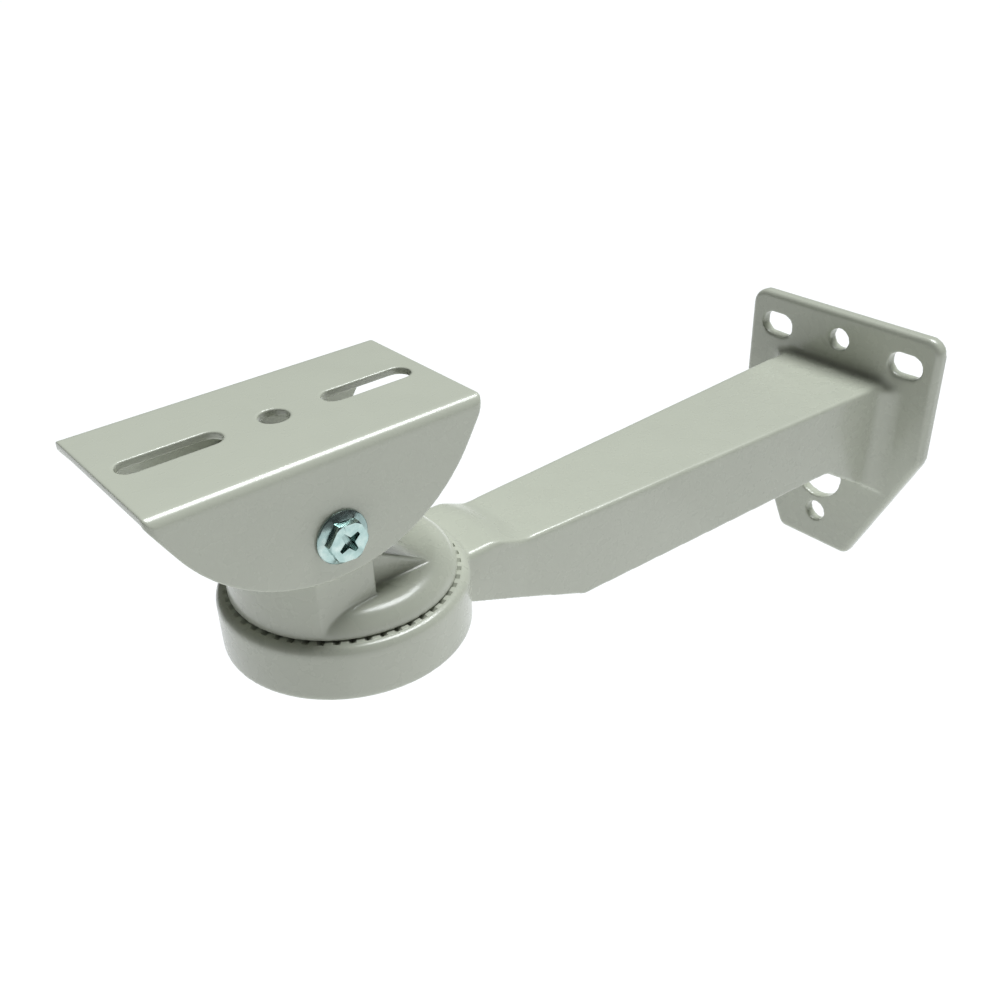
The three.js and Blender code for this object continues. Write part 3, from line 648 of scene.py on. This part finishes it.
def build_arm(s):
    """The whole arm casting, softened, with its ring of teeth cut crisp."""
    solids = [arm_outside(s), arm_neck(s), arm_ring(s)]
    for solid in solids:
        combine(solid, "DIFFERENCE", *arm_cuts(s))
    cable = prism(circle(*CABLE_HOLE, s.plate.cable_hole / 2, 72), "Y", -s.plate.thickness - OVERLAP, 0)
    solids.append(wall_plate(s))
    for fillet in plate_fillets(s):
        solids.append(combine(fillet, "DIFFERENCE", placed("cable", cable.data.copy())))
    bpy.data.objects.remove(cable)
    root = -s.plate.thickness - s.arm.fillet
    fillet_head = Vector((s.arm.wall_half + 3 * MM, root + 4 * MM, s.arm.wall_top))

    def blended(point):
        """Full down the middle of the neck's shoulder and at the head of each fillet, fading out around."""
        away = math.hypot(point.x, point.y - PAN_Y)
        shoulder = 1 - abs(away - s.arm.neck_foot + 4 * MM) / (7 * MM)
        corner = 1 - (Vector((abs(point.x), point.y, point.z)) - fillet_head).length / (11 * MM)
        return max(0, shoulder if point.z > s.arm.ring_bottom + 7 * MM else 0, min(1, 2 * corner))

    body = cast(solids, voxel=0.55 * MM, rounds=6, most_triangles=170000, blended=blended)
    combine(body, "DIFFERENCE", serrations(s.teeth, s.arm.ring_bottom + s.arm.ring_height, 1,
                                           s.teeth.outer))
    return body


# ---- swivel base
def base_lug(s):
    """Tall drum with two flat clamping faces, rounded over the tilt axis."""
    base = s.base
    foot = BASE_LOW.z
    front = PAN_Y - base.radius
    drum_top = foot + base.drum_height
    corner = Vector((front - TILT_Y, drum_top - TILT_Z))
    bearing = math.degrees(math.atan2(corner.y, corner.x)) % 360
    tangent = bearing - math.degrees(math.acos(base.lug_round / corner.length))
    side = [(front - OVERLAP, foot), (TILT_Y + base.lug_back, foot),
            *arc(TILT_Y, TILT_Z, base.lug_round, base.lug_round, 0, tangent, 24),
            (front, drum_top), (front - OVERLAP, drum_top - OVERLAP)]
    body = prism(side, "X", -base.lug_half, base.lug_half)
    return combine(body, "INTERSECT", rod(base.radius, foot, BASE_HIGH.z + OVERLAP))


def base_lip(s):
    """Rounded lip round the foot of the drum."""
    base = s.base
    foot = BASE_LOW.z
    edge = arc(base.radius - base.lip_width, foot, base.lip_width, base.lip_height, 0, 90, 16)
    return turned([(0, foot), (base.radius, foot), *edge, (0, foot + base.lip_height)])


def base_web(s):
    """Sloping web that stiffens the lug on the wall side."""
    base = s.base
    foot = BASE_LOW.z
    side = [(TILT_Y, foot), (PAN_Y + base.web_reach, foot),
            (PAN_Y + base.web_reach, foot + base.lip_height - 0.5 * MM),
            (TILT_Y + base.lug_back, foot + base.web_rise), (TILT_Y, foot + base.web_rise)]
    return prism(side, "X", -base.web_half, base.web_half)


def base_hollow(s):
    """Hollow of the casting, open underneath, around the threaded boss."""
    base = s.base
    foot = BASE_LOW.z
    ceiling = TILT_Z - s.screws.tilt_thread / 2 - 2 * base.wall
    reach = s.teeth.inner - base.wall
    below = foot - OVERLAP
    inner = rod(reach, below, foot + base.lip_height - base.wall)
    front = PAN_Y - base.radius + base.wall + 2 * MM
    back = TILT_Y + base.lug_back - base.wall
    pocket = prism([(front, below), (back, below), (back, ceiling), (front, ceiling)], "X",
                   base.wall - base.lug_half, base.lug_half - base.wall)
    combine(pocket, "INTERSECT", rod(reach, below, ceiling))
    combine(inner, "UNION", pocket)
    return combine(inner, "DIFFERENCE", rod(base.boss, below - OVERLAP, ceiling + OVERLAP, steps=64))


def build_base(s):
    """The whole swivel base, softened, with its own ring of teeth cut crisp."""
    screws = s.screws
    foot = BASE_LOW.z
    body = combine(base_lug(s), "UNION", base_lip(s), base_web(s))
    pan_hole = rod(screws.pan_thread / 2 + SHANK_GAP, 0, foot + s.base.boss_bore, steps=48)
    tilt_hole = rod(screws.tilt_thread / 2 + SHANK_GAP, -FAR, FAR, "X", TILT_Y, TILT_Z, 48)
    combine(body, "DIFFERENCE", base_hollow(s), pan_hole, tilt_hole)
    body = cast([body], voxel=0.42 * MM, rounds=6, most_triangles=150000)
    combine(body, "DIFFERENCE", serrations(s.teeth, foot, -1, s.teeth.base_outer))
    return body


# ---- saddle
def build_saddle(s):
    """Sheet folded into a channel, its cheeks cut to a round, with camera slots and a middle hole."""
    sheet = s.saddle
    half = SADDLE_HIGH.x
    top = SADDLE_HIGH.z
    low = TILT_Z - sheet.cheek_low - 2 * MM
    inner = half - sheet.sheet
    inner_bend = sheet.bend - sheet.sheet
    section = rounded([
        (-half, low, 0), (-inner, low, 0), (-inner, top - sheet.sheet, inner_bend),
        (inner, top - sheet.sheet, inner_bend), (inner, low, 0), (half, low, 0),
        (half, top, sheet.bend), (-half, top, sheet.bend)], 12)
    body = prism(section, "Y", SADDLE_LOW.y, SADDLE_HIGH.y)
    blank = rounded([(-half, SADDLE_LOW.y, sheet.corner), (half, SADDLE_LOW.y, sheet.corner),
                     (half, SADDLE_HIGH.y, sheet.corner), (-half, SADDLE_HIGH.y, sheet.corner)])
    combine(body, "INTERSECT", prism(blank, "Z", 0, FAR))
    centre = TILT_Z - sheet.cheek_low + sheet.cheek_radius
    end = SADDLE_HIGH.y - TILT_Y
    seat_under = top - sheet.sheet - 0.1 * MM
    rise = seat_under - centre
    corner_angle = math.degrees(math.atan2(rise, end))
    tangent_angle = math.degrees(math.acos(sheet.cheek_radius / math.hypot(end, rise)))
    last = corner_angle - tangent_angle
    cheek = arc(TILT_Y, centre, sheet.cheek_radius, sheet.cheek_radius, -180 - last, last, 64)
    beyond = end + 5 * MM
    cheek += [(TILT_Y + y, centre + z) for y, z in (
        (end, rise), (beyond, rise), (beyond, FAR), (-beyond, FAR), (-beyond, rise), (-end, rise))]
    combine(body, "INTERSECT", prism(cheek, "X", -FAR, FAR))
    slot_length = sheet.slot_out - sheet.slot_in
    middle = (sheet.slot_out + sheet.slot_in) / 2
    for side in (-1, 1):
        slot = [(b, a) for a, b in stadium(TILT_Y + side * middle, 0, slot_length, sheet.slot_width)]
        combine(body, "DIFFERENCE", prism(slot, "Z", top - 2 * sheet.sheet, top + sheet.sheet))
    hole = circle(0, TILT_Y, sheet.hole / 2)
    combine(body, "DIFFERENCE", prism(hole, "Z", top - 2 * sheet.sheet, top + sheet.sheet))
    pivot = circle(TILT_Y, TILT_Z, s.screws.tilt_thread / 2 + SHANK_GAP)
    combine(body, "DIFFERENCE", prism(pivot, "X", -FAR, FAR))
    return cast([body], voxel=0.36 * MM, rounds=4, most_triangles=190000)


# ---- screws, washers and nut
def chamfered_hexagon(axis, a, b, across_flats, low, high, turn=0.0, both=False):
    """Hexagonal prism whose high end, or both ends, are turned down as a nut's are."""
    corner = across_flats / math.sqrt(3) + 0.1 * MM
    flat = across_flats / 2 * CHAMFER_CIRCLE
    drop = (corner - flat) * math.tan(math.radians(30))
    body = prism(hexagon(a, b, across_flats, turn), axis, low, high)
    start = [(flat, low), (corner, low + drop)] if both else [(corner, low)]
    skin = turned([(0, low), *start, (corner, high - drop), (flat, high), (0, high)], axis, a, b, 96)
    return combine(body, "INTERSECT", skin)


def thread(axis, a, b, major, low, high, pitch):
    """Helical ridge of a screw thread between two heights, buried in its shank."""
    root = major - THREAD_DEPTH * pitch - 0.2 * MM
    section = [(root, low), (major, low + pitch * 0.42), (major, low + pitch * 0.53),
               (root, low + pitch * 0.95)]
    turns = (high - low) / pitch - 1
    return coil(section, axis, a, b, pitch, turns, int(turns * 40))


def shank(axis, a, b, major, root, plain, tip, pitch):
    """Screw shank: plain from its root, then threaded to a chamfered tip. Heights may run down."""
    way = 1 if tip > root else -1
    core = major - THREAD_DEPTH * pitch
    profile = [(0, root), (major, root), (major, plain), (core, plain + way * 0.4 * MM),
               (core, tip - way * 0.5 * MM), (core - 0.5 * MM, tip), (0, tip)]
    body = turned(profile, axis, a, b, 64)
    low, high = sorted((plain, tip - way * 0.6 * MM))
    return combine(body, "UNION", thread(axis, a, b, major, low, high, pitch))


def cross_recess(s, top):
    """Two tapering wings that cut the cross into the tilt bolt's head."""
    screws = s.screws
    wings = []
    for quarter in (0, 90):
        turn = math.radians(CROSS_TURN + quarter)
        outline = wing(TILT_Y, TILT_Z, screws.cross, screws.cross_width, screws.cross_waist, turn)
        cutter = prism(outline, "X", top - screws.cross_depth, top + 0.3 * MM)
        for vert in cutter.data.vertices:
            if vert.co.x < top:
                vert.co.y = TILT_Y + (vert.co.y - TILT_Y) * CROSS_TAPER
                vert.co.z = TILT_Z + (vert.co.z - TILT_Z) * CROSS_TAPER
        wings.append(cutter)
    return wings


def build_tilt_bolt(s):
    """Flanged hexagon bolt with a cross recess and a threaded end."""
    screws = s.screws
    low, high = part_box("tilt_bolt")
    face = SADDLE_HIGH.x + CONTACT
    top = high.x
    radius = (high.z - low.z) / 2
    flange = turned([(0, face), (radius - 0.25 * MM, face), (radius, face + 0.25 * MM),
                     (radius, face + 0.55 * MM), (radius - 0.3 * MM, face + 0.85 * MM),
                     (radius * 0.74, face + 1.45 * MM), (0, face + 1.45 * MM)],
                    "X", TILT_Y, TILT_Z, 128)
    head = chamfered_hexagon("X", TILT_Y, TILT_Z, screws.tilt_hexagon, face + 0.5 * MM, top,
                             screws.tilt_turn)
    combine(head, "DIFFERENCE", *cross_recess(s, top))
    combine(head, "UNION", flange)
    plain = -SADDLE_HIGH.x + 2 * MM
    stem = shank("X", TILT_Y, TILT_Z, screws.tilt_thread / 2, face + 0.6 * MM, plain, low.x, 1 * MM)
    combine(head, "UNION", stem)
    return break_edges(head, 0.12 * MM, 2, 32)


def build_pan_bolt(s):
    """Plain hexagon bolt that clamps the two toothed faces together."""
    screws = s.screws
    low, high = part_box("pan_bolt")
    head_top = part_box("pan_spring_washer")[0].z - CONTACT
    head = chamfered_hexagon("Z", 0, PAN_Y, screws.pan_hexagon, -head_top, -low.z)
    head.data.transform(Matrix.Scale(-1, 4, (0, 0, 1)))
    head.data.flip_normals()
    stem = shank("Z", 0, PAN_Y, screws.pan_thread / 2, head_top - 1 * MM, head_top + 8 * MM, high.z,
                 1.25 * MM)
    combine(head, "UNION", stem)
    return break_edges(head, 0.15 * MM, 2, 32)


def washer_room(node, axis):
    """Outer radius of a washer, and where it starts and ends along its axis."""
    low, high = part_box(node)
    along = "XYZ".index(axis)
    width = high.y - low.y if axis == "Z" else high.z - low.z
    return width / 2, low[along], high[along]


def flat_washer(s, node, axis, a, b, hole):
    """Stamped washer: one rounded rim, one sharper."""
    outer, start, end = washer_room(node, axis)
    rim = WASHER_RIM
    body = turned([(0, start), (outer - rim, start), (outer, start + rim), (outer, end - rim / 2),
                   (outer - rim / 2, end), (0, end)], axis, a, b, 96)
    combine(body, "DIFFERENCE", rod(hole + SHANK_GAP, start - rim, end + rim, axis, a, b, 64))
    return break_edges(body, 0.1 * MM, 2, 40)


def split_washer(s, node, axis, a, b, hole, first):
    """Spring washer: a square wire wound almost once round, its two ends set apart."""
    outer, start, end = washer_room(node, axis)
    rise = (end - start) * 0.22
    thick = end - start - rise
    inner = hole + SHANK_GAP
    turns = 1 - s.screws.slit / (math.pi * (inner + outer))
    section = rounded([(inner, start, WIRE_EDGE), (outer, start, WIRE_EDGE),
                       (outer, start + thick, WIRE_EDGE), (inner, start + thick, WIRE_EDGE)], 3)
    body = coil(section, axis, a, b, rise / turns, turns, 96)
    spin = Matrix.Rotation(first, 4, axis)
    centre = AXES[axis](a, b, 0)
    body.data.transform(Matrix.Translation(centre) @ spin @ Matrix.Translation(-centre))
    return body


def build_nut(s):
    """Hexagon nut, turned down at both ends, with a countersunk bore."""
    low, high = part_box("tilt_nut")
    body = chamfered_hexagon("X", TILT_Y, TILT_Z, s.screws.tilt_hexagon, low.x, high.x, both=True)
    hole = s.screws.tilt_thread / 2 + 0.15 * MM
    bore = turned([(0, low.x - 1 * MM), (hole + 1.5 * MM, low.x - 1 * MM), (hole, low.x + 0.5 * MM),
                   (hole, high.x - 0.5 * MM), (hole + 1.5 * MM, high.x + 1 * MM), (0, high.x + 1 * MM)],
                  "X", TILT_Y, TILT_Z, 64)
    combine(body, "DIFFERENCE", bore)
    return break_edges(body, 0.12 * MM, 2, 25)


# ---- finishes
def new_material(name):
    """Material with an empty shader, and a way to add and join its nodes."""
    material = bpy.data.materials.new(name)
    material.use_nodes = True
    nodes = material.node_tree.nodes
    return material, nodes, material.node_tree.links, nodes["Principled BSDF"]


def noise(nodes, links, scale, detail=3.0, roughness=0.5):
    """Noise on the piece's own coordinates, so many cells to the metre."""
    place = nodes.new("ShaderNodeTexCoord")
    pattern = nodes.new("ShaderNodeTexNoise")
    pattern.inputs["Scale"].default_value = scale
    pattern.inputs["Detail"].default_value = detail
    pattern.inputs["Roughness"].default_value = roughness
    links.new(place.outputs["Object"], pattern.inputs["Vector"])
    return pattern.outputs["Fac"]


def ramp(nodes, links, source, *stops):
    """Colour ramp over a pattern, from (position, colour) stops."""
    item = nodes.new("ShaderNodeValToRGB")
    band = item.color_ramp
    while len(band.elements) < len(stops):
        band.elements.new(0.5)
    for element, (position, shade) in zip(band.elements, stops):
        element.position = position
        element.color = (*shade, 1)
    links.new(source, item.inputs["Fac"])
    return item.outputs["Color"]


def spread(nodes, links, source, low, high):
    """Stretches the middle of a pattern to the range low to high."""
    item = nodes.new("ShaderNodeMapRange")
    item.inputs["From Min"].default_value = 0.3
    item.inputs["From Max"].default_value = 0.7
    item.inputs["To Min"].default_value = low
    item.inputs["To Max"].default_value = high
    links.new(source, item.inputs["Value"])
    return item.outputs["Result"]


def relief(nodes, links, shader, *layers):
    """Bump on the shader from (pattern, depth in metres) layers."""
    below = None
    for pattern, depth in layers:
        bump = nodes.new("ShaderNodeBump")
        bump.inputs["Strength"].default_value = 1.0
        bump.inputs["Distance"].default_value = depth
        links.new(pattern, bump.inputs["Height"])
        if below:
            links.new(below, bump.inputs["Normal"])
        below = bump.outputs["Normal"]
    links.new(below, shader.inputs["Normal"])


def shade(base, factor):
    """A colour, lighter or darker by a factor."""
    return tuple(min(1, channel * factor) for channel in base)


def enamel(s, name, peel, wave):
    """Baked enamel: faint mottling, orange peel, and the slow unevenness of what lies under it."""
    material, nodes, links, shader = new_material(name)
    base = tuple(s.finish.enamel)
    mottling = noise(nodes, links, 55, 5, 0.6)
    tint = ramp(nodes, links, mottling, (0.25, shade(base, 0.98)), (0.5, base), (0.75, shade(base, 1.015)))
    links.new(tint, shader.inputs["Base Color"])
    gloss = spread(nodes, links, noise(nodes, links, 170, 4), s.finish.enamel_gloss - 0.02,
                   s.finish.enamel_gloss + 0.03)
    links.new(gloss, shader.inputs["Roughness"])
    shader.inputs["IOR"].default_value = 1.5
    shader.inputs["Coat Weight"].default_value = 0.25
    shader.inputs["Coat Roughness"].default_value = 0.1
    relief(nodes, links, shader, (noise(nodes, links, 70, 2), wave), (noise(nodes, links, 560, 2), peel))
    return material


def plating(s, name, base, cast_shade, rough):
    """Plated steel: passivated colour that drifts, and fine tumbling marks."""
    material, nodes, links, shader = new_material(name)
    drift = noise(nodes, links, 320, 3)
    tint = ramp(nodes, links, drift, (0.3, shade(base, 0.82)), (0.5, base), (0.7, cast_shade))
    links.new(tint, shader.inputs["Base Color"])
    shader.inputs["Metallic"].default_value = 1.0
    links.new(spread(nodes, links, noise(nodes, links, 900, 4), rough - 0.05, rough + 0.1),
              shader.inputs["Roughness"])
    relief(nodes, links, shader, (noise(nodes, links, 1800, 4), 12e-6))
    return material


def material(s, name):
    """The finish of that name, made once."""
    makers = {
        "enamel_on_casting": lambda: enamel(s, name, 6e-6, 45e-6),
        "enamel_on_sheet": lambda: enamel(s, name, 6e-6, 30e-6),
        "zinc_plate": lambda: plating(s, name, tuple(s.finish.zinc), (0.47, 0.57, 0.54), 0.2),
        "spring_plate": lambda: plating(s, name, tuple(s.finish.spring), (0.42, 0.40, 0.36), 0.36),
    }
    return bpy.data.materials.get(name) or makers[name]()


# ---- operators
class BRACKET_OT_arm(bpy.types.Operator):
    """Build the wall arm casting"""
    bl_idname = "bracket.arm"
    bl_label = "Wall arm"

    def execute(self, context):
        s = context.scene.bracket
        finish_piece(build_arm(s), "arm_casting", "arm", "enamel_casting",
                     material(s, "enamel_on_casting"), "wall_arm", 42)
        return {"FINISHED"}


class BRACKET_OT_base(bpy.types.Operator):
    """Build the swivel base casting"""
    bl_idname = "bracket.base"
    bl_label = "Swivel base"

    def execute(self, context):
        s = context.scene.bracket
        finish_piece(build_base(s), "base_casting", "swivel", "enamel_casting",
                     material(s, "enamel_on_casting"), "swivel_base", 42)
        return {"FINISHED"}


class BRACKET_OT_saddle(bpy.types.Operator):
    """Build the folded saddle"""
    bl_idname = "bracket.saddle"
    bl_label = "Saddle"

    def execute(self, context):
        s = context.scene.bracket
        finish_piece(build_saddle(s), "folded_saddle", "saddle", "enamel_sheet",
                     material(s, "enamel_on_sheet"), "saddle", 50)
        return {"FINISHED"}


class BRACKET_OT_tilt_screws(bpy.types.Operator):
    """Build the tilt bolt with its washers and nut"""
    bl_idname = "bracket.tilt_screws"
    bl_label = "Tilt bolt, washers and nut"

    def execute(self, context):
        s = context.scene.bracket
        hole = s.screws.tilt_thread / 2
        zinc = material(s, "zinc_plate")
        steel = material(s, "spring_plate")
        place = ("X", TILT_Y, TILT_Z, hole)
        pieces = [
            (build_tilt_bolt(s), "tilt_screw", "tilt_screw", "zinc_plated", zinc, "tilt_bolt"),
            (flat_washer(s, "tilt_flat_washer", *place), "tilt_plain_ring", "saddle", "zinc_plated",
             zinc, "tilt_flat_washer"),
            (split_washer(s, "tilt_spring_washer", *place, math.radians(90)), "tilt_split_ring",
             "saddle", "spring_steel", steel, "tilt_spring_washer"),
            (build_nut(s), "tilt_hexagon_nut", "saddle", "zinc_plated", zinc, "tilt_nut"),
        ]
        for piece in pieces:
            finish_piece(*piece, 28)
        return {"FINISHED"}


class BRACKET_OT_pan_screws(bpy.types.Operator):
    """Build the pan bolt with its washers"""
    bl_idname = "bracket.pan_screws"
    bl_label = "Pan bolt and washers"

    def execute(self, context):
        s = context.scene.bracket
        hole = s.screws.pan_thread / 2
        zinc = material(s, "zinc_plate")
        place = ("Z", 0, PAN_Y, hole)
        pieces = [
            (build_pan_bolt(s), "pan_screw", "pan_screw", "zinc_plated", zinc, "pan_bolt"),
            (flat_washer(s, "pan_flat_washer", *place), "pan_plain_ring", "pan_screw", "zinc_plated",
             zinc, "pan_flat_washer"),
            (split_washer(s, "pan_spring_washer", *place, math.radians(-90)), "pan_split_ring",
             "pan_screw", "spring_steel", material(s, "spring_plate"), "pan_spring_washer"),
        ]
        for piece in pieces:
            finish_piece(*piece, 28)
        return {"FINISHED"}


def lamp(name, kind, power, place, target, **settings):
    """A light at a place, facing a target."""
    data = bpy.data.lights.new(name, kind)
    data.energy = power
    for setting, value in settings.items():
        setattr(data, setting, value)
    light = placed(name, data)
    light.location = place
    light.rotation_euler = (Vector(target) - Vector(place)).to_track_quat("-Z", "Y").to_euler()
    return light


class BRACKET_OT_stage(bpy.types.Operator):
    """Set up the floor, the lights and the camera"""
    bl_idname = "bracket.stage"
    bl_label = "Floor, lights and camera"

    def execute(self, context):
        scene = context.scene
        studio = scene.bracket.studio
        target = Vector(studio.target)
        bm = bmesh.new()
        bmesh.ops.create_circle(bm, cap_ends=True, segments=128, radius=12)
        bmesh.ops.translate(bm, verts=bm.verts, vec=(0, 0, ARM_LOW.z - studio.floor_drop))
        floor = to_object(bm, "floor")
        paint, _, _, shader = new_material("pale_floor")
        shader.inputs["Base Color"].default_value = (*scene.bracket.finish.floor, 1)
        shader.inputs["Roughness"].default_value = 0.9
        floor.data.materials.append(paint)

        world = bpy.data.worlds.new("studio")
        world.use_nodes = True
        background = world.node_tree.nodes["Background"]
        background.inputs["Color"].default_value = (1, 1, 1, 1)
        background.inputs["Strength"].default_value = WORLD_LIGHT
        scene.world = world
        lamp("overhead", "SUN", OVERHEAD_LIGHT, OVERHEAD_FROM, (0, 0, 0), color=OVERHEAD_TINT,
             angle=math.radians(OVERHEAD_WIDTH))
        lamp("side_fill", "AREA", SIDE_LIGHT, SIDE_FROM, target, size=0.6)
        glow = lamp("table_glow", "AREA", TABLE_LIGHT, TABLE_FROM, TABLE_TOWARDS, size=0.32)
        glow.visible_camera = False
        scene.view_settings.view_transform = "Standard"

        data = bpy.data.cameras.new("camera")
        data.lens = studio.lens
        data.sensor_width = 36
        data.clip_start = 0.01
        data.clip_end = 60
        camera = placed("camera", data)
        back = Vector((math.sin(studio.azimuth) * math.cos(studio.elevation),
                       -math.cos(studio.azimuth) * math.cos(studio.elevation),
                       math.sin(studio.elevation)))
        right = Vector((math.cos(studio.azimuth), math.sin(studio.azimuth), 0))
        up = back.cross(right)
        right, up = (right * math.cos(studio.roll) + up * math.sin(studio.roll),
                     up * math.cos(studio.roll) - right * math.sin(studio.roll))
        frame_axes = Matrix((right, up, back)).transposed().to_4x4()
        camera.matrix_world = Matrix.Translation(target + back * studio.distance) @ frame_axes
        scene.camera = camera
        return {"FINISHED"}


class BRACKET_PT_panel(bpy.types.Panel):
    """The pieces of the bracket, each with its own button"""
    bl_label = "Camera Wall Bracket"
    bl_idname = "BRACKET_PT_panel"
    bl_space_type = "VIEW_3D"
    bl_region_type = "UI"
    bl_category = "Bracket"

    def draw(self, context):
        settings = context.scene.bracket
        for operator in OPERATORS:
            self.layout.operator(operator.bl_idname)
        for group in ("plate", "arm", "teeth", "base", "saddle", "screws", "finish", "studio"):
            sizes = getattr(settings, group)
            box = self.layout.box()
            box.label(text=settings.bl_rna.properties[group].name)
            for name in sizes.__annotations__:
                box.prop(sizes, name)


OPERATORS = (BRACKET_OT_stage, BRACKET_OT_arm, BRACKET_OT_base, BRACKET_OT_saddle,
             BRACKET_OT_tilt_screws, BRACKET_OT_pan_screws)
CLASSES = (PlateSizes, ArmSizes, ToothSizes, BaseSizes, SaddleSizes, ScrewSizes, Finishes, Studio,
           BracketSettings, *OPERATORS, BRACKET_PT_panel)


def register():
    for item in CLASSES:
        bpy.utils.register_class(item)
    bpy.types.Scene.bracket = PointerProperty(type=BracketSettings)


def unregister():
    del bpy.types.Scene.bracket
    for item in reversed(CLASSES):
        bpy.utils.unregister_class(item)


def plain(box):
    """A box's corners as plain lists of numbers, to a thousandth of a millimetre."""
    return [[round(value, 6) for value in corner] for corner in box]


def main():
    register()
    bpy.ops.bracket.stage()
    bpy.ops.bracket.arm()
    bpy.ops.bracket.base()
    bpy.ops.bracket.saddle()
    bpy.ops.bracket.tilt_screws()
    bpy.ops.bracket.pan_screws()


if __name__ == "__main__":
    main()
